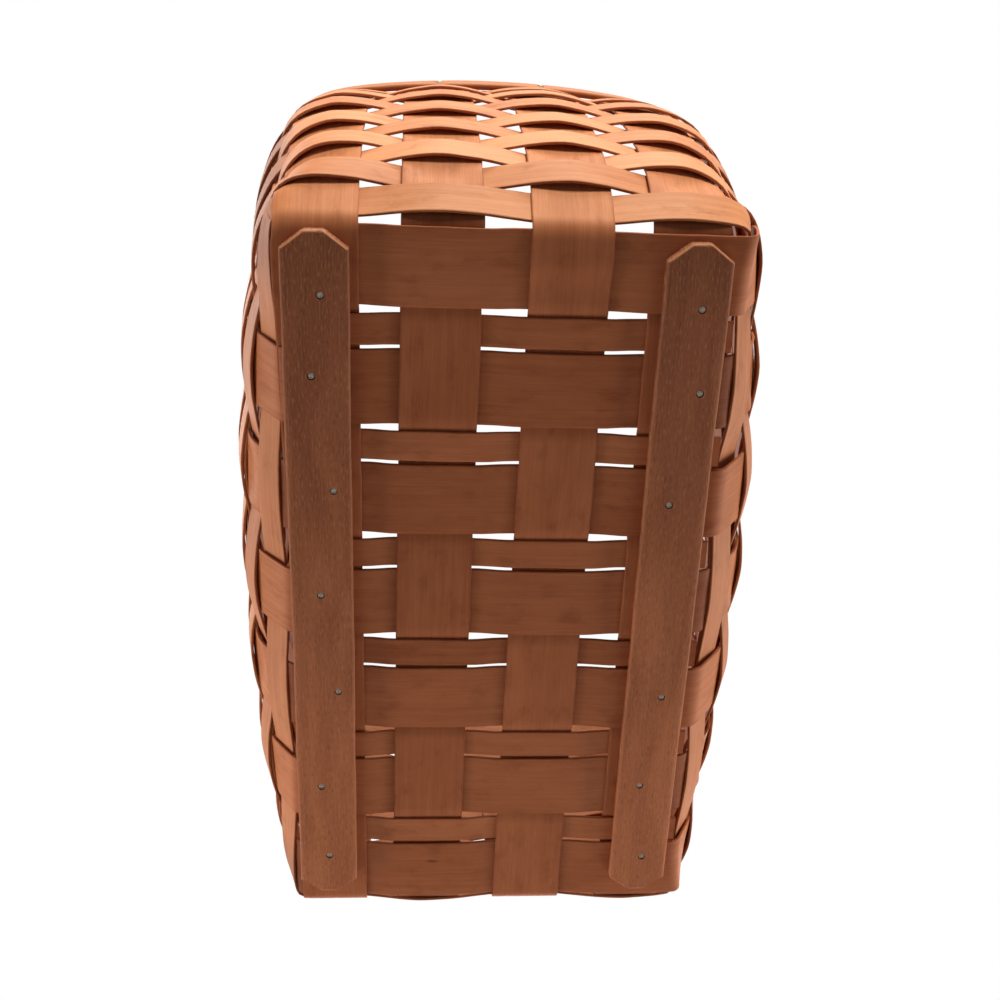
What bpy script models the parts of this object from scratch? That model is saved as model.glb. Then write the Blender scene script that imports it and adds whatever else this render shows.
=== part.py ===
"""Rectangular woven splint basket with two wooden runners under its base.

The basket stands on its runners with its mouth up (+Z). Its length runs along X and
its width along Y. Four lengthwise splints and seven cross splints are woven into the
base and turn up at its edges, where they become the uprights of the walls. Narrow
fillers close the base between the cross splints. Twelve weaver rows, each a closed
ring, pass in front of and behind the uprights in turn. An outer and an inner rim band
clamp the upright ends, and small tacks hold the rim and the runners.
"""

import math

import bmesh
import bpy
from mathutils import Vector

# Splints and the clearance between pieces that touch
SPLINT_WIDTH = 0.03175
EDGE_SPLINT_WIDTH = 0.0298
SPLINT_THICKNESS = 0.0012
FILLER_WIDTH = 0.0127
CLEARANCE = 0.0003

# Base, measured to the fold where the walls begin
CROSS_COUNT = 7
LAYER_CHANGE_GAP = 0.0030
PLAIN_GAP = 0.00185
BASE_HALF_WIDTH = 0.0908
LENGTHWISE_PLACE_SHARES = (-0.811, -0.318, 0.2225, 0.753)
LENGTHWISE_LEAN_SHARES = (-0.003, 0.008, 0.0125, 0.001)
ROW_LEAN_SHARE = -0.0145
FOLD_RUN = 0.001
FOLD_REACH_SHARE = 0.8
FOLD_RISE_SHARE = 0.42

# Walls: rows of weavers on uprights that swell out and draw in again at the rim
ROW_COUNT = 12
WEAVER_WIDTH = 0.0146
ROW_GAP = 0.0009
FIRST_ROW_GAP = 0.0005
BULGE = 0.024
KNOT_ROWS = (0, 1, 2, 3, 4, 6, 8, 10, 12)
END_BULGE_SHARES = (0.104, 0.47, 0.70, 0.81, 0.875, 0.965, 1.0, 0.925, 0.775)
SIDE_BULGE_SHARES = (0.02, 0.48, 0.69, 0.80, 0.875, 0.965, 1.0, 0.925, 0.775)
RIM_BULGE_SHARE = 0.745
CORNER_POWERS = (28.0, 13.0, 8.0, 6.4, 5.6, 5.1, 5.3, 5.7, 6.0)
RIM_CORNER_POWER = 6.0
UPRIGHT_FAN_SHARE = 0.1
WALL_DRIFT = 0.0045
WEAVER_BOW = 0.0015
WEAVE_CLEARANCE = 0.0004
TURN_MARGIN = 0.0010
CORNER_STEPS = 4

# Rim bands
RIM_HEIGHT = 0.0142
RIM_THICKNESS = 0.003
RIM_GAP = 0.0004
UPRIGHT_END_DROP = 0.0006

# Runners and their nails: each nail's place is a share of the splint's and the runner's width
RUNNER_HEAD_MARGINS = {"left": 0.0005, "right": 0.0033}
RUNNER_TAIL_MARGINS = {"left": 0.0088, "right": 0.0060}
RUNNER_WIDTH = 0.0262
RUNNER_THICKNESS = 0.0048
RUNNER_SPLINTS = {"left": 0, "right": 3}
RUNNER_OFFSET_SHARES = {"left": -0.082, "right": 0.098}
RUNNER_CLIP_LENGTH = 0.0071
RUNNER_CLIP_WIDTH = 0.0092
NAIL_PLACE_SHARES = {
    "left": {0: (-0.33, 0.08), 1: (0.19, -0.08), 2: (0.18, 0.22), 3: (0.19, -0.02),
             4: (0.21, 0.23), 5: (0.13, -0.09), 6: (0.42, 0.02)},
    "right": {0: (-0.38, 0.09), 1: (0.07, 0.19), 2: (0.05, -0.11),
              4: (0.13, 0.10), 5: (0.13, -0.12), 6: (0.35, 0.05)},
}
NAIL_HEAD_RADIUS = 0.0014
NAIL_HEAD_THICKNESS = 0.0006
NAIL_HEAD_DEPTH = 0.0009
NAIL_SHANK_RADIUS = 0.0006
NAIL_TIP = 0.0009
NAIL_STAND = 0.0012
NAIL_SIDES = 8

# Rim tacks
TACK_HEAD_RADIUS = 0.0018
TACK_HEAD_THICKNESS = 0.0006
TACK_SHANK_RADIUS = 0.0006
TACK_STAND = 0.0009
TACK_PLACES = (("end", "front", 1), ("end", "front", 2), ("end", "back", 1), ("end", "back", 2),
               ("side", "front", 0), ("side", "front", 2), ("side", "front", 4), ("side", "front", 6),
               ("side", "back", 0), ("side", "back", 2), ("side", "back", 4), ("side", "back", 6))

# Colours: linear red, green and blue, then roughness and metallic
MAPLE = ((0.36, 0.13, 0.045), 0.55, 0.0)
MAPLE_PALE = ((0.47, 0.19, 0.07), 0.5, 0.0)
RUNNER_WOOD = ((0.17, 0.066, 0.032), 0.6, 0.0)
RIM_WOOD = ((0.30, 0.105, 0.04), 0.5, 0.0)
STEEL = ((0.32, 0.31, 0.30), 0.4, 1.0)

# Sizes that follow from the ones above
CROSS_PITCH = SPLINT_WIDTH + LAYER_CHANGE_GAP + FILLER_WIDTH + PLAIN_GAP
BASE_HALF_LENGTH = (CROSS_COUNT - 1) * CROSS_PITCH / 2 + SPLINT_WIDTH / 2
ROW_PITCH = WEAVER_WIDTH + ROW_GAP
BASE_Z = RUNNER_THICKNESS + CLEARANCE
LAYER_STEP = SPLINT_THICKNESS + CLEARANCE
OUTER_LAYER_Z = BASE_Z + SPLINT_THICKNESS / 2
INNER_LAYER_Z = OUTER_LAYER_Z + LAYER_STEP
BASE_TOP_Z = INNER_LAYER_Z + SPLINT_THICKNESS / 2
WALL_START_Z = BASE_TOP_Z + FIRST_ROW_GAP
WALL_TOP_Z = WALL_START_Z + ROW_COUNT * ROW_PITCH
RIM_BOTTOM_Z = WALL_TOP_Z + RIM_GAP
RIM_TOP_Z = RIM_BOTTOM_Z + RIM_HEIGHT
UPRIGHT_END_Z = RIM_TOP_Z - UPRIGHT_END_DROP
KNOT_HEIGHTS = [WALL_START_Z + row * ROW_PITCH for row in KNOT_ROWS] + [RIM_TOP_Z]
WEAVE_OFFSET = SPLINT_THICKNESS + WEAVE_CLEARANCE
RIM_OFFSET = SPLINT_THICKNESS / 2 + CLEARANCE + RIM_THICKNESS / 2
UP = Vector((0.0, 0.0, 1.0))


def clear_scene():
    for old in list(bpy.data.objects):
        bpy.data.objects.remove(old, do_unlink=True)


def new_collection(name):
    collection = bpy.data.collections.new(name)
    bpy.context.scene.collection.children.link(collection)
    return collection


def new_material(name, look):
    colour, roughness, metallic = look
    material = bpy.data.materials.new(name)
    material.use_nodes = True
    shader = material.node_tree.nodes["Principled BSDF"]
    shader.inputs["Base Color"].default_value = (*colour, 1.0)
    shader.inputs["Roughness"].default_value = roughness
    shader.inputs["Metallic"].default_value = metallic
    return material


def table_at(height, values):
    """A value read between the knot heights."""
    heights = KNOT_HEIGHTS
    if height <= heights[0]:
        return values[0]
    for low, high, first, last in zip(heights, heights[1:], values, values[1:]):
        if height <= high:
            share = (height - low) / (high - low)
            return first + (last - first) * share
    return values[-1]


def plan(height):
    """Half length, half width and corner power of the wall at one knot height."""
    half_length = BASE_HALF_LENGTH + BULGE * table_at(height, (*END_BULGE_SHARES, RIM_BULGE_SHARE))
    half_width = BASE_HALF_WIDTH + BULGE * table_at(height, (*SIDE_BULGE_SHARES, RIM_BULGE_SHARE))
    power = table_at(height, (*CORNER_POWERS, RIM_CORNER_POWER))
    return half_length, half_width, power


class Upright:
    """One upright of the wall: where it stands at each height and which way it faces."""

    def __init__(self, wall, side, order, place, width, outside_first):
        self.wall = wall
        self.side = side
        self.order = order
        self.place = place
        self.width = width
        self.outside_first = outside_first

    def knot(self, height):
        """Centre, sideways direction and outward direction at one knot height."""
        half_length, half_width, power = plan(height)
        if self.wall == "end":
            along, across = half_width, half_length
            base = BASE_HALF_WIDTH
        else:
            along, across = half_length, half_width
            base = BASE_HALF_LENGTH
        place = self.place * (1 + UPRIGHT_FAN_SHARE * (along - base) / base)
        share = place / along
        rest = 1 - abs(share) ** power
        reach = across * rest ** (1 / power)
        slope = -(across / along) * math.copysign(abs(share) ** (power - 1), share) * rest ** (1 / power - 1)
        if self.wall == "end":
            centre = Vector((self.side * reach, place, height))
            sideways = Vector((self.side * slope + ROW_LEAN_SHARE, 1.0, 0.0)).normalized()
            outward = Vector((self.side * sideways.y, -self.side * sideways.x, 0.0))
        else:
            centre = Vector((place, self.side * reach, height))
            sideways = Vector((1.0, self.side * slope, 0.0)).normalized()
            outward = Vector((-self.side * sideways.y, self.side * sideways.x, 0.0))
        centre.x = row_x(centre.x, centre.y)
        centre.y += WALL_DRIFT * (height - WALL_START_Z) / (RIM_TOP_Z - WALL_START_Z)
        return centre, sideways, outward

    def frame(self, height):
        """The same between two knots, where the upright runs straight."""
        heights = KNOT_HEIGHTS
        for low, high in zip(heights, heights[1:]):
            if height <= high:
                break
        share = (height - low) / (high - low)
        lower = self.knot(low)
        upper = self.knot(high)
        centre, sideways, outward = (a.lerp(b, share) for a, b in zip(lower, upper))
        rise = (upper[0] - lower[0]).dot(outward)
        lean = math.cos(math.atan2(rise, high - low))
        return centre, sideways.normalized(), outward.normalized(), lean

    def is_outside(self, row):
        """Whether the upright passes outside this weaver row, counted from 0."""
        return self.outside_first == (row % 2 == 0)


def cross_place(index):
    """Middle of a cross splint, counted from the +X end."""
    return ((CROSS_COUNT - 1) / 2 - index) * CROSS_PITCH


def lengthwise_width(index):
    return EDGE_SPLINT_WIDTH if index in (0, 3) else SPLINT_WIDTH


def lengthwise_place(index, x):
    """Y of a lengthwise splint's middle at one X."""
    return LENGTHWISE_PLACE_SHARES[index] * BASE_HALF_WIDTH + LENGTHWISE_LEAN_SHARES[index] * x


def row_x(middle, y):
    """X of a cross splint or filler at one Y: the rows lean a little across the base."""
    return middle + ROW_LEAN_SHARE * y


def lengthwise_is_outside(index, cross):
    return (index + cross) % 2 == 0


def layer_z(outside):
    return OUTER_LAYER_Z if outside else INNER_LAYER_Z


def make_uprights():
    """All uprights in order round the wall, anticlockwise seen from above."""
    right_end = []
    left_end = []
    for index in range(len(LENGTHWISE_PLACE_SHARES)):
        for side, uprights, cross in ((1, right_end, 0), (-1, left_end, CROSS_COUNT - 1)):
            place = lengthwise_place(index, side * BASE_HALF_LENGTH)
            outside = lengthwise_is_outside(index, cross)
            uprights.append(Upright("end", side, index, place, lengthwise_width(index), outside))
    front_side = []
    back_side = []
    for cross in range(CROSS_COUNT):
        for side, uprights, index in ((-1, front_side, 0), (1, back_side, 3)):
            place = cross_place(cross)
            outside = not lengthwise_is_outside(index, cross)
            uprights.append(Upright("side", side, cross, place, SPLINT_WIDTH, outside))
    return right_end + back_side + left_end[::-1] + front_side[::-1]


def find_upright(uprights, wall, side, order):
    return next(u for u in uprights if (u.wall, u.side, u.order) == (wall, side, order))


def split_quads(shape):
    """Splits each face from its lower right to its upper left, seen from outside, or any way if level."""
    for face in list(shape.faces):
        corners = list(face.verts)
        best = None
        for pair in ((corners[0], corners[2]), (corners[1], corners[3])):
            low, high = sorted(pair, key=lambda vertex: vertex.co.z)
            turn = low.co.x * high.co.y - low.co.y * high.co.x
            if best is None or turn > best[0]:
                best = (turn, pair)
        bmesh.utils.face_split(face, *best[1])


def ribbon(name, rails, thickness, closed, material, collection):
    """A strip given its thickness. Each rail is a row of points across it, and the rails follow its length."""
    mesh = bpy.data.meshes.new(name)
    shape = bmesh.new()
    across = len(rails[0]) - 1
    along = len(rails) if closed else len(rails) - 1
    bmesh.ops.create_grid(shape, x_segments=along, y_segments=across, size=1.0)
    places = {}
    for vertex in shape.verts:
        places[vertex] = (round((vertex.co.x + 1) / 2 * along), round((vertex.co.y + 1) / 2 * across))
    for vertex, (column, row) in places.items():
        vertex.co = rails[column % len(rails)][row]
    if closed:
        bmesh.ops.remove_doubles(shape, verts=shape.verts, dist=CLEARANCE / 10)
    split_quads(shape)
    shape.to_mesh(mesh)
    shape.free()
    mesh.materials.append(material)
    strip = bpy.data.objects.new(name, mesh)
    collection.objects.link(strip)
    solid = strip.modifiers.new("thickness", "SOLIDIFY")
    solid.thickness = thickness
    solid.offset = 0.0
    solid.use_even_offset = True
    return strip


def rail_across(middle, half):
    return (middle - half, middle, middle + half)


def wall_rails(upright, top):
    """Edge points of an upright from the fold to its end, foot first."""
    rails = []
    for height in [*KNOT_HEIGHTS[:-1], top]:
        centre, sideways, _, _ = upright.frame(height)
        half = sideways * upright.width / 2
        rails.append(rail_across(centre, half))
    return rails


def fold_rails(upright, base_z):
    """The bend between the base and an upright: base side first."""
    centre, sideways, outward = upright.knot(WALL_START_Z)
    half = sideways * upright.width / 2
    start = centre - outward * FOLD_RUN
    start.z = base_z
    bend = centre - outward * FOLD_RUN * (1 - FOLD_REACH_SHARE)
    bend.z = base_z + (WALL_START_Z - base_z) * FOLD_RISE_SHARE
    return [rail_across(start, half), rail_across(bend, half)]


def lengthwise_base_rails(index):
    """The base stretch of a lengthwise splint, from +X to -X, changing layer in the gaps."""
    width = lengthwise_width(index)
    rails = []
    for cross in range(CROSS_COUNT - 1):
        y = lengthwise_place(index, cross_place(cross))
        cross_edge = row_x(cross_place(cross), y) - SPLINT_WIDTH / 2 - CLEARANCE
        filler_edge = row_x(filler_place(cross), y) + FILLER_WIDTH / 2 + CLEARANCE
        for x, column in ((cross_edge, cross), (filler_edge, cross + 1)):
            middle = Vector((x, lengthwise_place(index, x), layer_z(lengthwise_is_outside(index, column))))
            half = Vector((0.0, width / 2, 0.0))
            rails.append(rail_across(middle, half))
    return rails


def make_lengthwise_splint(index, uprights, material, collection):
    right = find_upright(uprights, "end", 1, index)
    left = find_upright(uprights, "end", -1, index)
    right_z = layer_z(lengthwise_is_outside(index, 0))
    left_z = layer_z(lengthwise_is_outside(index, CROSS_COUNT - 1))
    rails = wall_rails(right, UPRIGHT_END_Z)[::-1]
    rails += fold_rails(right, right_z)[::-1]
    rails += lengthwise_base_rails(index)
    rails += fold_rails(left, left_z)
    rails += wall_rails(left, UPRIGHT_END_Z)
    return ribbon(f"lengthwise_splint_{index + 1}", rails, SPLINT_THICKNESS, False, material, collection)


def filler_place(index):
    return cross_place(index) - SPLINT_WIDTH / 2 - LAYER_CHANGE_GAP - FILLER_WIDTH / 2


def cross_base_rails(middle, width, cross):
    """The base stretch of a cross splint or filler, from -Y to +Y, changing layer in the gaps."""
    rails = []
    for index in range(len(LENGTHWISE_PLACE_SHARES) - 1):
        near = lengthwise_place(index, middle) + lengthwise_width(index) / 2
        far = lengthwise_place(index + 1, middle) - lengthwise_width(index + 1) / 2
        margin = (far - near) / 6
        for y, column in ((near + margin, index), (far - margin, index + 1)):
            point = Vector((row_x(middle, y), y, layer_z(not lengthwise_is_outside(column, cross))))
            half = Vector((width / 2, 0.0, 0.0))
            rails.append(rail_across(point, half))
    return rails


def make_cross_splint(cross, uprights, material, collection):
    front = find_upright(uprights, "side", -1, cross)
    back = find_upright(uprights, "side", 1, cross)
    rails = wall_rails(front, UPRIGHT_END_Z)[::-1]
    rails += fold_rails(front, layer_z(not lengthwise_is_outside(0, cross)))[::-1]
    rails += cross_base_rails(cross_place(cross), SPLINT_WIDTH, cross)
    rails += fold_rails(back, layer_z(not lengthwise_is_outside(3, cross)))
    rails += wall_rails(back, UPRIGHT_END_Z)
    return ribbon(f"cross_splint_{cross + 1}", rails, SPLINT_THICKNESS, False, material, collection)


def make_filler(index, material, collection):
    """A narrow strip between two cross splints, woven like the second of them."""
    middle = filler_place(index)
    cross = index + 1
    end = BASE_HALF_WIDTH - FOLD_RUN - SPLINT_THICKNESS
    half = Vector((FILLER_WIDTH / 2, 0.0, 0.0))
    rails = []
    for y, column in ((-end, 0), (end, 3)):
        point = Vector((row_x(middle, y), y, layer_z(not lengthwise_is_outside(column, cross))))
        rails.append(rail_across(point, half))
    rails[1:1] = cross_base_rails(middle, FILLER_WIDTH, cross)
    return ribbon(f"base_filler_{index + 1}", rails, SPLINT_THICKNESS, False, material, collection)


def meet(first, first_way, second, second_way):
    """Where two level lines cross in plan, kept at the first point's height."""
    gap = second - first
    turn = first_way.x * second_way.y - first_way.y * second_way.x
    run = (gap.x * second_way.y - gap.y * second_way.x) / turn
    return Vector((first.x + first_way.x * run, first.y + first_way.y * run, first.z))


def ring_points(uprights, height, side_of, offset, bow):
    """A closed path round the wall at one height, on one side of each upright."""
    points = []
    count = len(uprights)
    stops = []
    for upright in uprights:
        centre, sideways, outward, lean = upright.frame(height)
        way = sideways if upright.side * (1 if upright.wall == "end" else -1) > 0 else -sideways
        side = side_of(upright)
        push = outward * side * offset / lean
        reach = way * (upright.width / 2 + TURN_MARGIN)
        stops.append((centre + push - reach, centre + push + outward * side * bow / lean,
                      centre + push + reach, way))
    for index, (start, middle, end, way) in enumerate(stops):
        points += [start, middle, end]
        following = stops[(index + 1) % count]
        if uprights[index].wall != uprights[(index + 1) % count].wall:
            corner = meet(end, way, following[0], following[3])
            for step in range(1, CORNER_STEPS):
                share = step / CORNER_STEPS
                points.append(end.lerp(corner, share).lerp(corner.lerp(following[0], share), share))
    return points


def make_weaver(row, uprights, material, collection):
    low = WALL_START_Z + row * ROW_PITCH + ROW_GAP / 2
    high = low + WEAVER_WIDTH

    def side_of(upright):
        return -1 if upright.is_outside(row) else 1

    bow = WEAVER_BOW if row else 0.0
    lower = ring_points(uprights, low, side_of, WEAVE_OFFSET, bow)
    upper = ring_points(uprights, high, side_of, WEAVE_OFFSET, bow)
    rails = list(zip(lower, upper))
    return ribbon(f"weaver_row_{row + 1:02d}", rails, SPLINT_THICKNESS, True, material, collection)


def make_rim_band(name, side, uprights, material, collection):
    lower = ring_points(uprights, RIM_BOTTOM_Z, lambda upright: side, RIM_OFFSET, 0.0)
    upper = ring_points(uprights, RIM_TOP_Z, lambda upright: side, RIM_OFFSET, 0.0)
    return ribbon(name, list(zip(lower, upper)), RIM_THICKNESS, True, material, collection)


def cut(target, cutter):
    hole = target.modifiers.new("holes", "BOOLEAN")
    hole.operation = "DIFFERENCE"
    hole.solver = "EXACT"
    hole.object = cutter


def turned(name, profile, sides, material, collection):
    """A turned piece: its profile runs down the outer side, from the top to the foot."""
    mesh = bpy.data.meshes.new(name)
    mesh.from_pydata([(radius, 0.0, height) for radius, height in profile],
                     [(i, i + 1) for i in range(len(profile) - 1)], [])
    mesh.materials.append(material)
    piece = bpy.data.objects.new(name, mesh)
    collection.objects.link(piece)
    screw = piece.modifiers.new("turn", "SCREW")
    screw.steps = sides
    screw.render_steps = sides
    screw.use_merge_vertices = True
    screw.merge_threshold = CLEARANCE / 10
    screw.use_smooth_shade = False
    return piece


def cutter_object(name, shape, cutters):
    mesh = bpy.data.meshes.new(name)
    shape.to_mesh(mesh)
    shape.free()
    cutter = bpy.data.objects.new(name, mesh)
    cutters.objects.link(cutter)
    cutter.hide_render = True
    cutter.display_type = "WIRE"
    return cutter


def add_cylinder(shape, radius, low, high, matrix_of):
    """A cylinder between two points along its own axis, added to a shape."""
    made = bmesh.ops.create_cone(shape, cap_ends=True, segments=NAIL_SIDES, radius1=radius, radius2=radius,
                                 depth=high - low)
    for vertex in made["verts"]:
        vertex.co = matrix_of(vertex.co + UP * (low + high) / 2)


def runner_middle(side):
    """Y of a runner, which lies under one of the outer lengthwise splints."""
    splint = LENGTHWISE_PLACE_SHARES[RUNNER_SPLINTS[side]] * BASE_HALF_WIDTH
    return splint + RUNNER_OFFSET_SHARES[side] * EDGE_SPLINT_WIDTH


def nail_places(side):
    """Each nail goes through the runner and one cross splint."""
    for cross, (along, across) in NAIL_PLACE_SHARES[side].items():
        y = runner_middle(side) + across * RUNNER_WIDTH
        yield row_x(cross_place(cross), y) + along * SPLINT_WIDTH, y


def make_runner(side, material, collection, cutter):
    """A flat wooden bar with clipped corners under the base."""
    head, tail = RUNNER_HEAD_MARGINS[side], RUNNER_TAIL_MARGINS[side]
    half_length = BASE_HALF_LENGTH - (head + tail) / 2
    half_width = RUNNER_WIDTH / 2
    outline = [(half_length - RUNNER_CLIP_LENGTH, half_width), (half_length, half_width - RUNNER_CLIP_WIDTH)]
    outline += [(x, -y) for x, y in outline[::-1]]
    outline += [(-x, y) for x, y in outline[::-1]]
    curve = bpy.data.curves.new(f"runner_{side}_outline", "CURVE")
    curve.dimensions = "2D"
    curve.fill_mode = "BOTH"
    curve.extrude = RUNNER_THICKNESS / 2
    line = curve.splines.new("POLY")
    line.points.add(len(outline) - 1)
    for point, (x, y) in zip(line.points, outline):
        point.co = (x, y, 0.0, 1.0)
    line.use_cyclic_u = True
    drawn = bpy.data.objects.new(f"runner_{side}_outline", curve)
    collection.objects.link(drawn)
    drawn.location = ((tail - head) / 2, runner_middle(side), RUNNER_THICKNESS / 2)
    bpy.context.view_layer.update()
    evaluated = drawn.evaluated_get(bpy.context.evaluated_depsgraph_get())
    mesh = bpy.data.meshes.new_from_object(evaluated)
    shape = bmesh.new()
    shape.from_mesh(mesh)
    bmesh.ops.remove_doubles(shape, verts=shape.verts, dist=CLEARANCE / 10)
    shape.to_mesh(mesh)
    shape.free()
    mesh.materials.clear()
    mesh.materials.append(material)
    runner = bpy.data.objects.new(f"runner_{side}", mesh)
    collection.objects.link(runner)
    runner.matrix_world = drawn.matrix_world
    bpy.data.objects.remove(drawn, do_unlink=True)
    cut(runner, cutter)
    return runner


def nail_profile():
    top = BASE_TOP_Z + NAIL_STAND - NAIL_HEAD_DEPTH
    return [(0.0, top), (NAIL_SHANK_RADIUS, top - NAIL_TIP), (NAIL_SHANK_RADIUS, NAIL_HEAD_THICKNESS),
            (NAIL_HEAD_RADIUS, NAIL_HEAD_THICKNESS), (NAIL_HEAD_RADIUS, 0.0), (0.0, 0.0)]


def make_nails(material, collection):
    for side in NAIL_PLACE_SHARES:
        for number, (x, y) in enumerate(nail_places(side), start=1):
            nail = turned(f"runner_{side}_nail_{number}", nail_profile(), NAIL_SIDES, material, collection)
            nail.location = (x, y, NAIL_HEAD_DEPTH)


def make_nail_cutter(cutters):
    """Holes for the nail shanks, with a wider recess for each head."""
    shape = bmesh.new()
    recess_top = NAIL_HEAD_DEPTH + NAIL_HEAD_THICKNESS + CLEARANCE
    hole_top = BASE_TOP_Z + NAIL_STAND
    for side in NAIL_PLACE_SHARES:
        for x, y in nail_places(side):
            made = bmesh.ops.create_cone(shape, cap_ends=True, segments=NAIL_SIDES,
                                         radius1=NAIL_HEAD_RADIUS + CLEARANCE, depth=1.0,
                                         radius2=NAIL_HEAD_RADIUS + CLEARANCE)
            rings = sorted(made["verts"], key=lambda vertex: vertex.co.z)
            for vertex in rings[:NAIL_SIDES]:
                vertex.co.z = -NAIL_HEAD_DEPTH
            for vertex in rings[NAIL_SIDES:]:
                vertex.co.z = recess_top
            cap = next(face for face in shape.faces
                       if all(vertex in rings[NAIL_SIDES:] for vertex in face.verts))
            inner = bmesh.ops.inset_region(shape, faces=[cap], thickness=NAIL_HEAD_RADIUS - NAIL_SHANK_RADIUS,
                                           use_even_offset=True)
            raised = bmesh.ops.extrude_face_region(shape, geom=[cap])
            bmesh.ops.delete(shape, geom=[cap], context="FACES")
            top_verts = [item for item in raised["geom"] if isinstance(item, bmesh.types.BMVert)]
            for vertex in top_verts:
                vertex.co.z = hole_top
            for vertex in {*rings, *top_verts, *(v for face in inner["faces"] for v in face.verts)}:
                vertex.co.x += x
                vertex.co.y += y
    return cutter_object("nail_holes", shape, cutters)


def tack_frames(uprights):
    """Centre and outward direction of each rim tack, on the middle of the rim band."""
    height = (RIM_BOTTOM_Z + RIM_TOP_Z) / 2
    for wall, side, order in TACK_PLACES:
        upright = find_upright(uprights, wall, 1 if side == "back" else -1, order)
        centre, _, outward, _ = upright.frame(height)
        yield centre, outward


def make_tacks(uprights, material, collection):
    """Tacks driven from outside through the rim bands and the upright between them."""
    face = RIM_OFFSET + RIM_THICKNESS / 2 + CLEARANCE
    length = 2 * face + TACK_STAND
    profile = [(0.0, TACK_HEAD_THICKNESS), (TACK_HEAD_RADIUS, 0.0), (TACK_SHANK_RADIUS, 0.0),
               (TACK_SHANK_RADIUS, -length), (0.0, -length - TACK_SHANK_RADIUS)]
    for number, (centre, outward) in enumerate(tack_frames(uprights), start=1):
        tack = turned(f"rim_tack_{number:02d}", profile, NAIL_SIDES, material, collection)
        tack.rotation_mode = "QUATERNION"
        tack.rotation_quaternion = UP.rotation_difference(outward)
        tack.location = centre + outward * face


def make_tack_cutter(uprights, cutters):
    shape = bmesh.new()
    reach = RIM_OFFSET + RIM_THICKNESS
    for centre, outward in tack_frames(uprights):
        turn = UP.rotation_difference(outward)
        add_cylinder(shape, TACK_SHANK_RADIUS + CLEARANCE, -reach, reach,
                     lambda point: centre + turn @ point)
    return cutter_object("tack_holes", shape, cutters)


def centre_on_origin(basket, cutters):
    """Moves everything so that the middle of the outline stands over the origin."""
    bpy.context.view_layer.update()
    depsgraph = bpy.context.evaluated_depsgraph_get()
    corners = []
    for piece in basket.objects:
        ready = piece.evaluated_get(depsgraph)
        corners += [ready.matrix_world @ Vector(corner) for corner in ready.bound_box]
    low = Vector([min(corner[axis] for corner in corners) for axis in range(3)])
    high = Vector([max(corner[axis] for corner in corners) for axis in range(3)])
    middle = (low + high) / 2
    for piece in (*basket.objects, *cutters.objects):
        piece.location -= Vector((middle.x, middle.y, low.z))


def build():
    clear_scene()
    basket = new_collection("rectangular_basket")
    cutters = new_collection("cutters")
    maple = new_material("maple_splint", MAPLE)
    pale = new_material("maple_weaver", MAPLE_PALE)
    runner_wood = new_material("runner_wood", RUNNER_WOOD)
    rim_wood = new_material("rim_wood", RIM_WOOD)
    steel = new_material("steel", STEEL)

    uprights = make_uprights()
    nail_holes = make_nail_cutter(cutters)
    tack_holes = make_tack_cutter(uprights, cutters)
    for index in range(len(LENGTHWISE_PLACE_SHARES)):
        splint = make_lengthwise_splint(index, uprights, maple, basket)
        if index in RUNNER_SPLINTS.values():
            cut(splint, nail_holes)
        else:
            cut(splint, tack_holes)
    for cross in range(CROSS_COUNT):
        splint = make_cross_splint(cross, uprights, maple, basket)
        cut(splint, nail_holes)
        if cross % 2 == 0:
            cut(splint, tack_holes)
    for index in range(CROSS_COUNT - 1):
        make_filler(index, maple, basket)
    for row in range(ROW_COUNT):
        make_weaver(row, uprights, pale, basket)
    for name, side in (("rim_outer_band", 1), ("rim_inner_band", -1)):
        band = make_rim_band(name, side, uprights, rim_wood, basket)
        cut(band, tack_holes)
    for side in RUNNER_SPLINTS:
        make_runner(side, runner_wood, basket, nail_holes)
    make_nails(steel, basket)
    make_tacks(uprights, steel, basket)
    centre_on_origin(basket, cutters)


build()
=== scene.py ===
"""Dressed scene for the rectangular splint basket: finer strips, runners, nails and rim on the frame."""

import math

import bmesh
import bpy
import numpy as np
from mathutils import Matrix, Vector


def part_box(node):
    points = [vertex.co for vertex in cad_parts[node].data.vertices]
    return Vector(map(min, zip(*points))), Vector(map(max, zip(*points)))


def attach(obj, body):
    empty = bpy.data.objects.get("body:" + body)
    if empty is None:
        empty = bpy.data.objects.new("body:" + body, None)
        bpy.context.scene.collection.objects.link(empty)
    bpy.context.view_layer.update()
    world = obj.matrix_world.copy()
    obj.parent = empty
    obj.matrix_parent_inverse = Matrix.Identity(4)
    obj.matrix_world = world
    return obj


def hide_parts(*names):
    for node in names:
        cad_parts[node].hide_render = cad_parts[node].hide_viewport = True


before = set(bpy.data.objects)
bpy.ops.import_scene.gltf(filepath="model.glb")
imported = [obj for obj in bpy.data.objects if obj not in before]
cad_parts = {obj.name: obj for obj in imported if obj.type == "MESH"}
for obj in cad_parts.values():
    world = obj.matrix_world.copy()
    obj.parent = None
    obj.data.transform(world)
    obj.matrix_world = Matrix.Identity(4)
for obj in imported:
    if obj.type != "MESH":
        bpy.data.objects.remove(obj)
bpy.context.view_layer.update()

# Strips
SPLINT = 0.03175
EDGE_SPLINT = 0.0304
THICK = 0.0012
FILLER = 0.0131
STEP = 0.0015

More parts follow.
